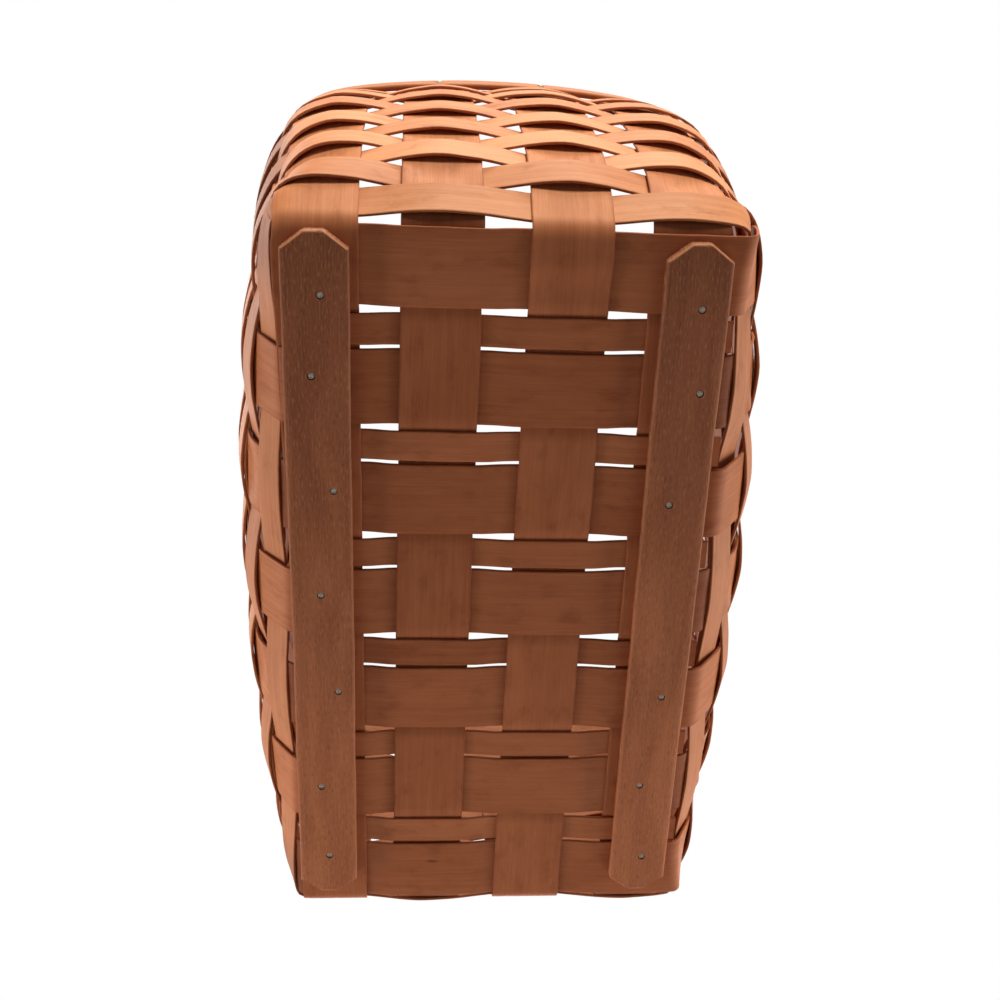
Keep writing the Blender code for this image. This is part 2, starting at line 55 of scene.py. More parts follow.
# Base
CROSSES = 7
PITCH = 0.0493
HALF_LENGTH = 0.163775
FAR_EXTRA = 0.0012
BACK_EXTRA = 0.0015
FRONT_EXTRA = 0.0008
HALF_WIDTH = 0.0908
LENGTHWISE = (-0.0742, -0.0289, 0.0202, 0.0684)
LEANS = (-0.003, 0.008, 0.0125, 0.001)
ROW_LEAN = -0.0145
FILLER_DROP = 0.025225
BASE_Z = 0.0051
OUTER_Z = BASE_Z + THICK / 2
INNER_Z = OUTER_Z + STEP
SHIFT = Vector((-0.000055, -0.002775, 0.0))

# Walls
WALL_Z = 0.0083
ROWS = 12
ROW = 0.0155
ROW_WIDTH = 0.0154
RIM_Z = WALL_Z + ROWS * ROW + 0.0002
TOP_Z = 0.2090
# at the foot of these rows and at the top: the walls' bulges, and the power of the superellipse of their plan
KNOTS = (0, 1, 2, 3, 4, 6, 8, 10, 12)
KNOT_Z = [WALL_Z + k * ROW for k in KNOTS] + [TOP_Z]
END_BULGE = [0.0025, 0.0110, 0.0166, 0.0194, 0.0210, 0.0230, 0.0238, 0.0222, 0.0186, 0.0179]
SIDE_BULGE = [0.0005, 0.0113, 0.0166, 0.0192, 0.0210, 0.0230, 0.0238, 0.0222, 0.0186, 0.0179]
POWERS = [60.0, 16.0, 7.0, 6.5, 6.4, 7.7, 9.0, 9.2, 9.5, 9.5]
DRIFT = 0.0027
SIDE_BOW = 0.0170
SIDE_BOW_LEVEL = 0.0018
END_BOW = 0.0124
END_BOW_LEVEL = 0.0014
END_WAVE = 0.0034
SIDE_WAVE = 0.0030
# how far the first row swings in and out, by wall and side
FIRST_WAVES = {("end", 1): 0.0024, ("end", -1): 0.0017, ("side", 1): 0.0014, ("side", -1): 0.0013}
BACK_TUCK = 0.0032
FRONT_TUCK = 0.0016
BACK_TUCK_POWER = 12.0
FRONT_TUCK_POWER = 4.0
TUCK_ROWS = 1.4
BOW_POWER = 6
TANGENT_REACH = 0.0012
CUP = 0.0016
LAP_START = 5
LAP_STEP = 6
LAP_OFFSET = 0.0014
# the bends of the lengthwise splints that fold wider than the others, at the +X end
FOLD_REACHES = {0: 0.0060, 2: 0.0050}
FOLD_DIP = 0.0014
DIP_REACH = 0.0125
FOLD_REACH = 0.0042
INNER_FOLD_REACH = 0.0085
FOLD_RUN_SHARE = 0.9
FOLD_STEPS = 9
FLARE = 0.0026
UPRIGHT_START = WALL_Z + 0.0028
UPRIGHT_STEP = 0.0022
UPRIGHT_TOP = TOP_Z - 0.0006
CUP_START = WALL_Z + 0.010
CUP_FADE = 0.012
SPAN_STEPS = 14

# Slack between the strips of the base
START_SLACK = 0.001
END_SLACK = 0.003
CROSS_SLACK = 0.0012
SPLINT_SLACK = 0.0004
FILLER_INSET = 0.0024

# Edges and wood of the strips
EDGE_ROUND = 0.0002
EDGE_LINE = 0.0009
ROUGH_EDGE = 0.00015
# the number from which each kind of strip counts its own wander and stretch of wood
SEEDS = {"lengthwise": 11.0, "cross": 31.0, "filler": 51.0, "weaver": 71.0, "rim": 91.0}
TEXTURE_STARTS = 7.0
TEXTURE_LANES = 3.0
INNER_FACE_LANE = 0.5
STRIP_ROUGHNESS = 0.52
# the base is darker, fading out at the foot of the walls
DARKENING_Z = 0.0062
DARKENING_FADE = 0.004
# painted shade in the hidden folds of strips whose end lies on the inner layer
FOLD_SHADE = 0.8
FOLD_SHADE_REACH = 0.012
FOLD_SHADE_Z = 0.009
FOLD_SHADE_HEIGHT = 0.008
# painted shade where the rows turn from the end walls into the long walls
CORNER_SHADE = 0.7
CORNER_X = 0.130
CORNER_X_FADE = 0.025
CORNER_Y = 0.090
CORNER_Y_FADE = 0.010

# Runners and rim
CLIP_LENGTH = 0.0071
CLIP_WIDTH = 0.0092
CLIP_SHARES = (0.4, 0.6, 0.8, 0.94, 1.0, 1.06, 1.2)
WORN = 0.0007
BOARD_STEP = 0.003
BOARD_WANDER = 0.0002
BOARD_SEEDS = {"left": 3.1, "right": 8.4}
RIM_THICK = 0.003
RIM_END_SHARE = 0.12
RIM_ROUND = 0.0008
RIM_PLAY = 0.0003
RIM_OFFSET = THICK / 2 + RIM_PLAY + RIM_THICK / 2
TACK_FACE = RIM_OFFSET + RIM_THICK / 2 + RIM_PLAY
HEAD_RISE = 0.0006
HOLE_PLAY = 0.0003
HOLE_DEPTH = 0.0009


def smooth_table(values):
    """A smooth curve through values at the knot heights."""
    xs = np.array(KNOT_Z)
    ys = np.array(values)
    slopes = np.gradient(ys, xs)

    def at(z):
        z = min(max(z, xs[0]), xs[-1])
        i = min(int(np.searchsorted(xs, z, side="right")) - 1, len(xs) - 2)
        h = xs[i + 1] - xs[i]
        t = (z - xs[i]) / h
        a, b = ys[i], ys[i + 1]
        m, n = slopes[i] * h, slopes[i + 1] * h
        return ((2 * t**3 - 3 * t**2 + 1) * a + (t**3 - 2 * t**2 + t) * m
                + (-2 * t**3 + 3 * t**2) * b + (t**3 - t**2) * n)

    return at


end_bulge = smooth_table(END_BULGE)
side_bulge = smooth_table(SIDE_BULGE)
corner_power = smooth_table(POWERS)
ANGLES = np.linspace(0.0, 2 * math.pi, 1441)[:-1]


def ease(t):
    return t * t * (3 - 2 * t)


def eased(value, start, reach):
    """0 up to start, 1 from start + reach on, and easing between."""
    return ease(min(1.0, max(0.0, (value - start) / reach)))


def tuck(x, side, z):
    """How far the foot of a long wall is tucked in at a place along it, apart from splints folded outside."""
    fade = 1.0 - eased(z, WALL_Z, TUCK_ROWS * ROW)
    power = np.where(side > 0, BACK_TUCK_POWER, FRONT_TUCK_POWER)
    along = 1 - np.minimum(1.0, np.abs(x) / HALF_LENGTH) ** power
    return np.where(side > 0, BACK_TUCK, FRONT_TUCK) * fade * along


class Plan:
    """The wall's middle surface at one height: a closed curve, anticlockwise, by arc length."""

    cache = {}

    def __init__(self, z):
        c, s = np.cos(ANGLES), np.sin(ANGLES)
        a = HALF_LENGTH + np.where(c < 0, FAR_EXTRA, 0.0) + end_bulge(z)
        b = HALF_WIDTH + np.where(s > 0, BACK_EXTRA, FRONT_EXTRA) + side_bulge(z)
        n = corner_power(z)
        # how far the superellipse is from its centre at each angle
        r = (np.abs(c / a) ** n + np.abs(s / b) ** n) ** (-1 / n)
        x, y = r * c, r * s
        # the long walls bow out with their bulge, and the end walls more and more towards the rim
        rise = (z - WALL_Z) / (TOP_Z - WALL_Z)
        end_bow = END_BOW_LEVEL - END_BOW * (y / b) ** 2
        side_bow = SIDE_BOW_LEVEL - SIDE_BOW * (x / a) ** 2
        end_move = rise * end_bow * (np.abs(x) / a) ** BOW_POWER
        side_move = side_bulge(z) / max(SIDE_BULGE) * side_bow - tuck(x, y, z)
        side_move = side_move * (np.abs(y) / b) ** BOW_POWER
        x, y = x + np.sign(x) * end_move, y + np.sign(y) * side_move
        x = x + ROW_LEAN * y
        self.drift = DRIFT * rise
        y = y + self.drift
        self.x, self.y = x, y
        ds = np.hypot(np.roll(x, -1) - x, np.roll(y, -1) - y)
        self.s = np.concatenate([[0.0], np.cumsum(ds)])
        self.length = self.s[-1]
        self.px = np.append(x, x[0])
        self.py = np.append(y, y[0])
        self.z = z

    @classmethod
    def at(cls, z):
        key = round(z, 5)
        if key not in cls.cache:
            cls.cache[key] = cls(key)
        return cls.cache[key]

    def point(self, s):
        s = s % self.length
        return np.array([np.interp(s, self.s, self.px), np.interp(s, self.s, self.py)])

    def points(self, s):
        """Points of the wall at several arc lengths, as rows of x, y, z."""
        x, y = self.point(np.asarray(s))
        return np.stack([x, y, np.full_like(x, self.z)], axis=1) + np.array(SHIFT)

    def frame(self, s):
        """Point, direction along the curve, and outward direction, at one arc length or several."""
        a, b = self.point(s - TANGENT_REACH), self.point(s + TANGENT_REACH)
        t = (b - a) / np.hypot(*(b - a))
        return self.point(s), t, np.array([t[1], -t[0]])

    def upright_s(self, upright):
        """Arc length at the middle of an upright."""
        if upright["wall"] == "end":
            want = upright["place"] + self.drift
            values, side = self.y, np.sign(self.x) == upright["side"]
        else:
            want = upright["place"] + ROW_LEAN * HALF_WIDTH * upright["side"]
            values, side = self.x, np.sign(self.y - self.drift) == upright["side"]
        i = int(np.argmin(np.where(side, np.abs(values - want), np.inf)))
        best = self.s[i]
        for j in (i - 1, i):
            k = (j + 1) % len(values)
            lo, hi = values[j], values[k]
            if (lo - want) * (hi - want) <= 0 and hi != lo:
                start = self.s[j % len(values)]
                best = start + (want - lo) / (hi - lo) * (self.s[(j % len(values)) + 1] - start)
        return best


def cross_x(index):
    return ((CROSSES - 1) / 2 - index) * PITCH


def row_x(middle, y):
    return middle + ROW_LEAN * y


def lengthwise_y(index, x):
    return LENGTHWISE[index] + LEANS[index] * x


def lengthwise_width(index):
    return EDGE_SPLINT if index in (0, 3) else SPLINT


def lengthwise_outside(index, cross):
    return (index + cross) % 2 == 0


def layer(outside):
    return OUTER_Z if outside else INNER_Z


def make_uprights():
    right, back, left, front = [], [], [], []
    for i in range(4):
        for side, out, cross in ((1, right, 0), (-1, left, CROSSES - 1)):
            out.append({"wall": "end", "side": side, "order": i, "place": lengthwise_y(i, side * HALF_LENGTH),
                        "width": lengthwise_width(i), "outside": lengthwise_outside(i, cross)})
    for j in range(CROSSES):
        for side, out, i in ((-1, front, 0), (1, back, 3)):
            out.append({"wall": "side", "side": side, "order": j, "place": cross_x(j),
                        "width": SPLINT, "outside": not lengthwise_outside(i, j)})
    return right + back + left[::-1] + front[::-1]


UPRIGHTS = make_uprights()


def upright_of(wall, side, order):
    return next(u for u in UPRIGHTS if (u["wall"], u["side"], u["order"]) == (wall, side, order))


# how deep each strip's colour is, from 0 pale to 1 deep
LENGTHWISE_TONES = (0.42, 0.72, 0.46, 0.50)
CROSS_TONES = (0.38, 0.85, 0.70, 0.60, 0.55, 0.40, 0.55)


def wobble(seed, x, scale=1.0):
    """A smooth repeatable wander between about -1 and 1."""
    return (math.sin(x * 37.0 * scale + seed * 12.9898) * 0.5
            + math.sin(x * 83.0 * scale + seed * 78.233) * 0.3
            + math.sin(x * 171.0 * scale + seed * 37.719) * 0.2)


def hashed(seed):
    value = math.sin(seed * 127.1 + 311.7) * 43758.5453
    return value - math.floor(value)


# strips as meshes


def section(width, shares=(0.25, 0.5, 0.75), edge_round=EDGE_ROUND, near=EDGE_LINE):
    """Places across a strip: its edges, lines close inside them, and lines at shares of its half width."""
    half = width / 2
    right = [half * share for share in shares] + [half - near, half - edge_round, half]
    return np.array([-v for v in reversed(right)] + [0.0] + right)


def linked(name, data):
    """An object in the scene with this data."""
    made = bpy.data.objects.new(name, data)
    bpy.context.scene.collection.objects.link(made)
    return made


def built(name, shape):
    """An object in the scene from a finished bmesh, which is freed."""
    mesh = bpy.data.meshes.new(name)
    shape.to_mesh(mesh)
    shape.free()
    return linked(name, mesh)


def strip_mesh(name, grid, columns, thick, material, seed, edge_round=EDGE_ROUND, darkening=None, tone_of=None,
               painted_shade=None):
    """A strip from the grid of its middle surface (stations along, columns across), with rounded edges.

    Its UV map runs in metres, along and across, and vertex attributes give the distance to the nearest
    edge in millimetres, the depth of its tone, how much darker it is on the base, and its painted shade."""
    grid = np.asarray(grid)
    stations = len(grid)
    half = columns[-1]
    along = np.gradient(grid, axis=0)
    across = np.gradient(grid, axis=1)
    across /= np.linalg.norm(across, axis=2, keepdims=True)
    normal = np.cross(along, across)
    normal /= np.linalg.norm(normal, axis=2, keepdims=True)
    middle = grid[:, len(columns) // 2]
    steps = np.linalg.norm(np.diff(middle, axis=0), axis=1)
    lengths = np.concatenate([[0.0], np.cumsum(steps)])
    low_edge = np.array([wobble(seed, d * 3.0) for d in lengths]) * ROUGH_EDGE
    high_edge = np.array([wobble(seed + 0.37, d * 3.0) for d in lengths]) * ROUGH_EDGE
    share = (columns + half) / (2 * half)
    shift = low_edge[:, None] * (1 - share) + high_edge[:, None] * share
    sheet = grid + across * shift[:, :, None]
    h = np.broadcast_to(np.asarray(thick, dtype=float) / 2, stations)[:, None, None]
    low_side, high_side = sheet - normal * h, sheet + normal * h
    side = np.maximum(h - edge_round, h * 0.4)
    low_rim, high_rim = sheet - normal * side, sheet + normal * side
    rings = np.concatenate([low_side[:, 1:-1], low_rim[:, -1:], high_rim[:, -1:],
                            high_side[:, -2:0:-1], high_rim[:, :1], low_rim[:, :1]], axis=1)
    places = np.concatenate([columns[1:-1], [half, half], columns[-2:0:-1], [-half, -half]])
    count = len(places)
    # every strip takes its own stretch of the wood, and its two faces take different lanes
    start = hashed(seed + 5.5) * TEXTURE_STARTS
    lanes = hashed(seed + 9.1) * TEXTURE_LANES
    faces, uvs = [], []
    for a in range(stations - 1):
        ua, ub = lengths[a], lengths[a + 1]
        low, high = a * count, (a + 1) * count
        for i in range(count):
            j = (i + 1) % count
            faces.append((low + i, low + j, high + j, high + i))
            lane = (INNER_FACE_LANE if i >= count // 2 else 0.0) + lanes
            uvs += [(ua + start, places[i] + lane), (ua + start, places[j] + lane),
                    (ub + start, places[j] + lane), (ub + start, places[i] + lane)]
    last = (stations - 1) * count
    faces += [tuple(range(count - 1, -1, -1)), tuple(range(last, last + count))]
    uvs += [(start, places[i]) for i in range(count - 1, -1, -1)] + [(start, place) for place in places]
    mesh = bpy.data.meshes.new(name)
    mesh.from_pydata(rings.reshape(-1, 3).tolist(), [], faces)
    mesh.uv_layers.new(name="strip").data.foreach_set("uv", np.array(uvs, dtype=np.float32).ravel())
    spots = [Vector(point) for point in middle]
    for label, values in (("edge", np.tile((half - np.abs(places)) * 1000.0, stations)),
                          ("tone", np.full(stations * count, hashed(seed) if tone_of is None else tone_of)),
                          ("darkening", np.repeat([darkening(p) if darkening else 0.0 for p in spots], count)),
                          ("painted_shade", np.repeat([painted_shade(p) if painted_shade else 0.0 for p in spots], count))):
        mesh.attributes.new(label, "FLOAT", "POINT").data.foreach_set("value", values.astype(np.float32))
    mesh.shade_smooth()
    mesh.set_sharp_from_angle(angle=math.radians(50))
    mesh.materials.append(material)
    return linked(name, mesh)


def to_vector(point, z):
    return Vector((point[0], point[1], z)) + SHIFT


WALL_STEPS = int((UPRIGHT_TOP - UPRIGHT_START) / UPRIGHT_STEP) + 1
WALL_HEIGHTS = [UPRIGHT_START + UPRIGHT_STEP * k for k in range(WALL_STEPS)]
WALL_HEIGHTS.append(UPRIGHT_TOP)


def flared(columns, extra):
    """A section whose low side is wider, most of all at its edge."""
    return np.where(columns < 0, columns * (1 + extra / columns[-1]), columns)


def wall_grid(upright, columns, sign):
    """An upright's middle surface: it bends across with the wall and cups under the rows that press on it."""
    rows = []
    phase = -1.0 if upright["outside"] else 1.0
    for z in WALL_HEIGHTS:
        plan = Plan.at(z)
        places = plan.upright_s(upright) + sign * columns
        x, y = plan.frame(places)[2]
        press = phase * math.cos(math.pi * ((z - WALL_Z) / ROW - 0.5)) * eased(z, CUP_START, CUP_FADE)
        lift = CUP * press * (0.75 - (columns / columns[-1]) ** 2)
        if upright["wall"] == "side" and upright["outside"]:
            lift = lift + tuck(upright["place"], upright["side"], z)
        rows.append(plan.points(places) + np.stack([x * lift, y * lift, np.zeros_like(x)], axis=1))
    return np.array(rows)


def fold_grid(wall, base_end, base_next, reach):
    """The bend between the base and the foot of a wall, base end first."""
    if base_end[0, 2] > (OUTER_Z + INNER_Z) / 2:
        reach = INNER_FOLD_REACH
    slope = wall[1] - wall[0]
    slope /= np.linalg.norm(slope, axis=1, keepdims=True)
    heading = base_end - base_next
    tilt = heading[:, 2] / np.hypot(heading[:, 0], heading[:, 1])
    corner = base_end
    for _ in range(3):
        away = np.hypot(*(corner - base_end)[:, :2].T)
        run = (wall[0, :, 2] - base_end[:, 2] - tilt * away) / slope[:, 2]
        corner = wall[0] - slope * run[:, None]
    inward = base_end - corner
    inward /= np.linalg.norm(inward, axis=1, keepdims=True)
    start = corner + inward * reach
    end = corner + slope * np.minimum(reach, run * FOLD_RUN_SHARE)[:, None]
    shares = [k / FOLD_STEPS for k in range(FOLD_STEPS + 1)]
    return np.array([(1 - t) ** 2 * start + 2 * t * (1 - t) * corner + t**2 * end for t in shares])


def splint_grid(first, last, base, columns, extra=0.0, reach=FOLD_REACH):
    """A whole splint: down its first wall, over the base, and up its last wall."""
    wall_a, wall_b = wall_grid(first, flared(columns, extra), 1), wall_grid(last, columns, -1)
    fold_a = fold_grid(wall_a, base[0], base[1], reach)
    fold_b = fold_grid(wall_b, base[-1], base[-2], FOLD_REACH)
    return np.concatenate([wall_a[::-1], fold_a[::-1], base, fold_b, wall_b])


def level_changes(stations, step=0.003):
    """Places and levels along a base strip, easing from one station's level to the next."""
    places = []
    for (p, z), (q, w) in zip(stations, stations[1:]):
        n = max(1, int(round(abs(q - p) / step)))
        places += [(p + (q - p) * k / n, z + (w - z) * ease(k / n)) for k in range(n)]
    return places + [stations[-1]]


def lengthwise_base(index):
    """Stations along X: level over each group of cross splint and filler, changing in the gaps."""
    start = HALF_LENGTH - FOLD_REACHES.get(index, INNER_FOLD_REACH) - START_SLACK
    stations = [(start, layer(lengthwise_outside(index, 0)))]
    for cross in range(CROSSES - 1):
        y = lengthwise_y(index, cross_x(cross))
        a = row_x(cross_x(cross), y) - SPLINT / 2 + CROSS_SLACK
        b = row_x(cross_x(cross) - FILLER_DROP, y) + FILLER / 2 - CROSS_SLACK
        stations += [(a, layer(lengthwise_outside(index, cross))),
                     (b, layer(lengthwise_outside(index, cross + 1)))]
    end = -HALF_LENGTH - FAR_EXTRA + INNER_FOLD_REACH + END_SLACK
    stations.append((end, layer(lengthwise_outside(index, CROSSES - 1))))
    return stations


def cross_base(cross, middle, ends):
    """Stations along Y for a cross splint or filler."""
    stations = [(-ends, layer(not lengthwise_outside(0, cross)))]
    for i in range(3):
        near = lengthwise_y(i, middle) + lengthwise_width(i) / 2
        far = lengthwise_y(i + 1, middle) - lengthwise_width(i + 1) / 2
        stations += [(near + SPLINT_SLACK, layer(not lengthwise_outside(i, cross))),
                     (far - SPLINT_SLACK, layer(not lengthwise_outside(i + 1, cross)))]
    stations.append((ends, layer(not lengthwise_outside(3, cross))))
    return stations


def fold_painted_shade(near, far):
    """Painted shade in the hidden folds of a strip whose first or last end lies on the inner layer."""

    def at(point):
        along = point.x if near[0] else point.y
        hidden = near[1] if along > 0 else far
        reach = HALF_LENGTH if near[0] else HALF_WIDTH
        if not hidden or abs(along) < reach - FOLD_SHADE_REACH:
            return 0.0
        return FOLD_SHADE * max(0.0, 1.0 - abs(point.z - FOLD_SHADE_Z) / FOLD_SHADE_HEIGHT)

    return at


def corner_painted_shade(point):
    """Painted shade where a row turns from an end wall into a long wall."""
    along = eased(abs(point.x), CORNER_X, CORNER_X_FADE)
    return CORNER_SHADE * along * eased(abs(point.y), CORNER_Y, CORNER_Y_FADE)


def base_darkening(point):
    """1 on the base, fading to 0 at the foot of the walls."""
    return min(1.0, max(0.0, 1.0 - (point.z - DARKENING_Z) / DARKENING_FADE))


# materials


def nodes_of(name):
    material = bpy.data.materials.new(name)
    material.use_nodes = True
    tree = material.node_tree
    shader = tree.nodes["Principled BSDF"]
    return material, tree, shader


def math_node(tree, operation, a, b=None):
    node = tree.nodes.new("ShaderNodeMath")
    node.operation = operation
    for socket, value in zip(node.inputs, (a, b)):
        if value is None:
            continue
        if isinstance(value, (int, float)):
            socket.default_value = value
        else:
            tree.links.new(value, socket)
    return node.outputs[0]


def mix_colour(tree, factor, a, b, blend="MIX"):
    node = tree.nodes.new("ShaderNodeMix")
    node.data_type = "RGBA"
    node.blend_type = blend
    sockets = {s.identifier: s for s in node.inputs}
    for key, value in (("Factor_Float", factor), ("A_Color", a), ("B_Color", b)):
        if isinstance(value, (int, float)):
            sockets[key].default_value = value
        elif isinstance(value, tuple):
            sockets[key].default_value = (*value, 1.0)
        else:
            tree.links.new(value, sockets[key])
    return {s.identifier: s for s in node.outputs}["Result_Color"]


def ramp(tree, value, low, high):
    """0 at low, 1 at high, clamped."""
    node = tree.nodes.new("ShaderNodeMapRange")
    node.clamp = True
    tree.links.new(value, node.inputs["Value"])
    node.inputs["From Min"].default_value = low
    node.inputs["From Max"].default_value = high
    return node.outputs["Result"]


def stretched(tree, source, scale):
    mapping = tree.nodes.new("ShaderNodeMapping")
    tree.links.new(source, mapping.inputs["Vector"])
    mapping.inputs["Scale"].default_value = scale
    return mapping.outputs["Vector"]


def noise(tree, vector, scale=1.0, detail=3.0, roughness=0.55, distortion=0.0):
    node = tree.nodes.new("ShaderNodeTexNoise")
    tree.links.new(vector, node.inputs["Vector"])
    node.inputs["Scale"].default_value = scale
    node.inputs["Detail"].default_value = detail
    node.inputs["Roughness"].default_value = roughness
    node.inputs["Distortion"].default_value = distortion
    return node.outputs["Fac"]


def attribute(tree, name):
    node = tree.nodes.new("ShaderNodeAttribute")
    node.attribute_name = name
    return node.outputs["Fac"]


def times(tree, a, b):
    return math_node(tree, "MULTIPLY", a, b)


def plus(tree, a, b):
    return math_node(tree, "ADD", a, b)


def minus(tree, a, b):
    return math_node(tree, "SUBTRACT", a, b)


def tinted(tree, share, colour, tint):
    """A colour of which a share is multiplied by a tint."""
    return mix_colour(tree, share, colour, mix_colour(tree, 1.0, colour, tint, "MULTIPLY"))


def roughened(tree, shader, height, strength):
    """Bump on a shader from a height."""
    bumped = tree.nodes.new("ShaderNodeBump")
    bumped.inputs["Strength"].default_value = strength
    bumped.inputs["Distance"].default_value = 0.0003
    tree.links.new(height, bumped.inputs["Height"])
    tree.links.new(bumped.outputs["Normal"], shader.inputs["Normal"])


def weighted(tree, *terms):
    """The sum of noises, each spread over 0 to 1 and given a share."""
    total = None
    for value, share in terms:
        term = times(tree, ramp(tree, value, 0.28, 0.72), share)
        total = term if total is None else plus(tree, total, term)
    return total


def wood(name, pale, deep, fleck, sheen=0.08):
    """Wood strip: streaks along its length, broad tone drift, flecks, darker worn edges, darker base, painted
    shade in folds and corners.
    """
    material, tree, shader = nodes_of(name)
    uv_map = tree.nodes.new("ShaderNodeUVMap")
    uv_map.uv_map = "strip"
    uv = uv_map.outputs["UV"]
    fine = noise(tree, stretched(tree, uv, (45.0, 2300.0, 1.0)), 1.0, 3.0, 0.6)
    medium = noise(tree, stretched(tree, uv, (9.0, 420.0, 1.0)), 1.0, 3.0, 0.55, 0.3)
    broad = noise(tree, stretched(tree, uv, (7.0, 28.0, 1.0)), 1.0, 3.0, 0.55, 0.9)
    cloud = noise(tree, stretched(tree, uv, (70.0, 120.0, 1.0)), 1.0, 4.0, 0.6)
    pores = noise(tree, stretched(tree, uv, (190.0, 2600.0, 1.0)), 1.0, 1.0, 0.5)
    cells = tree.nodes.new("ShaderNodeTexVoronoi")
    cells.inputs["Scale"].default_value = 1.0
    tree.links.new(stretched(tree, uv, (9.0, 26.0, 1.0)), cells.inputs["Vector"])
    mixed = weighted(tree, (fine, 0.30), (medium, 0.22), (broad, 0.30), (cloud, 0.18))
    mixed = plus(tree, mixed, times(tree, minus(tree, attribute(tree, "tone"), 0.5), 0.45))
    colour = mix_colour(tree, mixed, pale, deep)
    # darker and redder on the base, fading out at the foot of the walls
    colour = tinted(tree, times(tree, attribute(tree, "darkening"), 0.85), colour, (0.78, 0.70, 0.70))
    # painted shade: darker where the strip lies in a hidden fold or where a row turns a corner
    colour = tinted(tree, attribute(tree, "painted_shade"), colour, (0.42, 0.34, 0.32))
    blot = times(tree, ramp(tree, cloud, 0.56, 0.80), 0.55)
    colour = tinted(tree, blot, colour, (0.55, 0.47, 0.45))
    flecks = times(tree, ramp(tree, pores, 0.66, 0.80), 0.35)
    colour = mix_colour(tree, flecks, colour, fleck)
    knot = plus(tree, cells.outputs["Distance"], times(tree, cloud, 0.05))
    colour = tinted(tree, times(tree, ramp(tree, knot, 0.060, 0.036), 0.7), colour, (0.28, 0.22, 0.20))
    ragged = plus(tree, attribute(tree, "edge"), times(tree, cloud, -0.9))
    rim = times(tree, minus(tree, 1.0, ramp(tree, ragged, -0.4, 0.35)), 0.5)
    colour = tinted(tree, rim, colour, (0.50, 0.36, 0.30))
    tree.links.new(colour, shader.inputs["Base Color"])
    gloss = plus(tree, STRIP_ROUGHNESS, times(tree, minus(tree, medium, 0.5), 0.25))
    tree.links.new(gloss, shader.inputs["Roughness"])
    roughened(tree, shader, plus(tree, times(tree, fine, 0.6), times(tree, medium, 0.4)), 0.3)
    shader.inputs["Specular IOR Level"].default_value = sheen
    return material


SPLINT_WOOD = wood("splint wood", (0.67, 0.246, 0.108), (0.34, 0.098, 0.036), (0.20, 0.06, 0.025))
WEAVER_WOOD = wood("weaver wood", (0.70, 0.285, 0.134), (0.42, 0.135, 0.053), (0.26, 0.085, 0.035), 0.10)
RIM_WOOD = wood("rim wood", (0.50, 0.178, 0.076), (0.34, 0.104, 0.041), (0.16, 0.05, 0.022))


def runner_wood(name):
    """Open-grained darker wood, with flecks and pits along the grain, worn pale at its edges."""
    material, tree, shader = nodes_of(name)
    place = tree.nodes.new("ShaderNodeTexCoord").outputs["Object"]
    fine = noise(tree, stretched(tree, place, (60.0, 1500.0, 60.0)), 1.0, 4.0, 0.6)
    broad = noise(tree, stretched(tree, place, (14.0, 90.0, 14.0)), 1.0, 3.0, 0.5, 0.8)
    pores = noise(tree, stretched(tree, place, (330.0, 1500.0, 200.0)), 1.0, 1.0, 0.5)
    cloud = noise(tree, stretched(tree, place, (60.0, 90.0, 60.0)), 1.0, 4.0, 0.65)
    streaks = times(tree, ramp(tree, fine, 0.3, 0.7), 0.5)
    drift = times(tree, ramp(tree, broad, 0.35, 0.65), 0.5)
    colour = mix_colour(tree, plus(tree, streaks, drift), (0.56, 0.192, 0.084), (0.35, 0.108, 0.047))
    # painted shade: the boards are darker towards the +X end
    split = tree.nodes.new("ShaderNodeSeparateXYZ")
    tree.links.new(place, split.inputs[0])
    end_shade = ramp(tree, plus(tree, split.outputs["X"], times(tree, broad, 0.06)), -0.05, 0.19)
    colour = tinted(tree, end_shade, colour, (0.54, 0.53, 0.57))
    flecks = times(tree, ramp(tree, pores, 0.56, 0.74), 0.42)
    colour = mix_colour(tree, flecks, colour, (0.56, 0.245, 0.125))
    pits = times(tree, ramp(tree, pores, 0.40, 0.28), 0.4)
    colour = mix_colour(tree, pits, colour, (0.10, 0.032, 0.016))
    ragged = plus(tree, attribute(tree, "edge"), times(tree, cloud, -1.0))
    worn = minus(tree, 1.0, ramp(tree, ragged, -0.25, 0.55))
    colour = mix_colour(tree, times(tree, worn, 0.45), colour, (0.50, 0.21, 0.11))
    tree.links.new(colour, shader.inputs["Base Color"])
    tree.links.new(plus(tree, 0.5, times(tree, fine, 0.2)), shader.inputs["Roughness"])
    roughened(tree, shader, minus(tree, fine, times(tree, pits, 0.8)), 0.45)
    shader.inputs["Specular IOR Level"].default_value = 0.1
    return material


def steel():
    material, tree, shader = nodes_of("dull steel")
    place = tree.nodes.new("ShaderNodeTexCoord").outputs["Object"]
    spots = noise(tree, place, 1400.0, 3.0, 0.6)
    colour = mix_colour(tree, ramp(tree, spots, 0.35, 0.65), (0.50, 0.44, 0.37), (0.30, 0.25, 0.20))
    tree.links.new(colour, shader.inputs["Base Color"])
    tree.links.new(plus(tree, 0.4, times(tree, spots, 0.3)), shader.inputs["Roughness"])
    shader.inputs["Metallic"].default_value = 0.25
    return material


STEEL = steel()
RUNNER_WOOD = runner_wood("runner wood")


# pieces


def finish_piece(piece, slot, *nodes):
    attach(piece, "root")
    if nodes:
        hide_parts(*nodes)
    return piece


